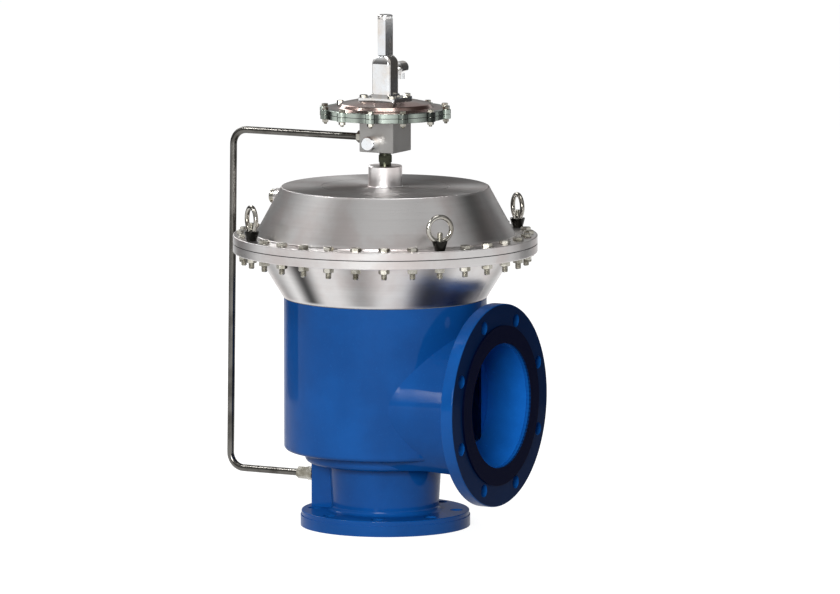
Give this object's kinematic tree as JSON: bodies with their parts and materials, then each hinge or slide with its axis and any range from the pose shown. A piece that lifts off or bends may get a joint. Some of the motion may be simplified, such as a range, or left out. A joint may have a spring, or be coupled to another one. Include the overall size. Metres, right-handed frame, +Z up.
{
  "type": "pilot-operated relief valve",
  "caption": "Angle-body relief valve with a flanged inlet below, a larger side outlet, a diaphragm casing with lifting eyes and a spring-loaded pilot on top, fed by a bent sense tube.",
  "frame": {"origin": "centre of the inlet flange's sealing face", "axes": "+Z up along the inlet bore and the stem, +X out of the outlet flange, and -Y towards the front"},
  "size_m": [0.5596, 0.51, 0.86],
  "materials": {
    "blue_enamel": "glossy blue enamel on cast steel",
    "brushed_stainless": "satin turned stainless steel",
    "polished_stainless": "polished stainless steel",
    "fastener_steel": "plain machined steel fasteners",
    "machined_block": "matt milled steel",
    "bronze": "turned bronze",
    "black_rubber": "moulded elastomer",
    "grey_gasket": "pressed fibre sheet",
    "spring_steel": "drawn spring wire"
  },
  "bodies": {
    "root": {"block_plug": "machined_block", "block_screws": "fastener_steel", "body_casting": "blue_enamel", "body_gasket": "grey_gasket", "bonnet": "polished_stainless", "bonnet_screws": "fastener_steel", "bonnet_vent": "polished_stainless", "cap_washer": "grey_gasket", "casing_bolts": "fastener_steel", "casing_nuts": "fastener_steel", "casing_screws": "fastener_steel", "closing_spring": "spring_steel", "dome_plug": "fastener_steel", "eye_nuts": "polished_stainless", "eye_studs": "fastener_steel", "lock_nut": "fastener_steel", "lower_casing": "brushed_stainless", "main_diaphragm": "black_rubber", "nozzle_o_ring": "black_rubber", "pilot_block": "machined_block", "pilot_bush": "bronze", "pilot_diaphragm": "black_rubber", "pilot_lower_casing": "polished_stainless", "pilot_nipple": "fastener_steel", "pilot_seat": "bronze", "pilot_upper_casing": "polished_stainless", "range_spring": "spring_steel", "rim_bolts": "fastener_steel", "rim_nuts": "fastener_steel", "seat_nozzle": "brushed_stainless", "sense_connector_lower": "fastener_steel", "sense_connector_upper": "fastener_steel", "sense_nut_lower": "fastener_steel", "sense_nut_upper": "fastener_steel", "sense_tube": "polished_stainless", "stem_bushes": "bronze", "stem_seal": "black_rubber", "upper_casing": "brushed_stainless", "vent_screen": "polished_stainless"},
    "main_valve": {"pallet": "brushed_stainless", "seat_insert": "black_rubber", "seat_retainer": "brushed_stainless", "pallet_nut": "fastener_steel", "main_stem": "brushed_stainless", "lower_diaphragm_plate": "brushed_stainless", "upper_diaphragm_plate": "brushed_stainless", "stem_nut": "fastener_steel"},
    "pilot_valve": {"pilot_stem": "fastener_steel", "pilot_lower_plate": "fastener_steel", "pilot_upper_plate": "fastener_steel", "pilot_stem_nut": "fastener_steel", "lower_spring_button": "fastener_steel"},
    "set_button": {"upper_spring_button": "fastener_steel"},
    "set_screw": {"adjusting_screw": "fastener_steel"},
    "cap": {"adjuster_cap": "polished_stainless"}
  },
  "joints": [
    {"name": "main_lift", "type": "slide", "parent": "root", "child": "main_valve", "axis": [0, 0, 1], "range_m": [0, 0.038], "deforming": ["main_diaphragm", "closing_spring"]},
    {"name": "pilot_lift", "type": "slide", "parent": "root", "child": "pilot_valve", "axis": [0, 0, 1], "range_m": [0, 0.003], "deforming": ["pilot_diaphragm", "range_spring"]},
    {"name": "set_button_slide", "type": "slide", "parent": "root", "child": "set_button", "axis": [0, 0, 1], "range_m": [-0.006, 0.006]},
    {"name": "set_screw_turn", "type": "hinge", "parent": "set_button", "child": "set_screw", "pos_m": [0, 0, 0.8], "axis": [0, 0, 1], "range_deg": [-1728, 1728]},
    {"name": "cap_lift", "type": "slide", "parent": "root", "child": "cap", "axis": [0, 0, 1], "range_m": [0, 0.06]}
  ],
  "couplings": [
    {"joint": "set_screw_turn", "follows": "set_button_slide", "rad_per_m": 5026.5}
  ]
}
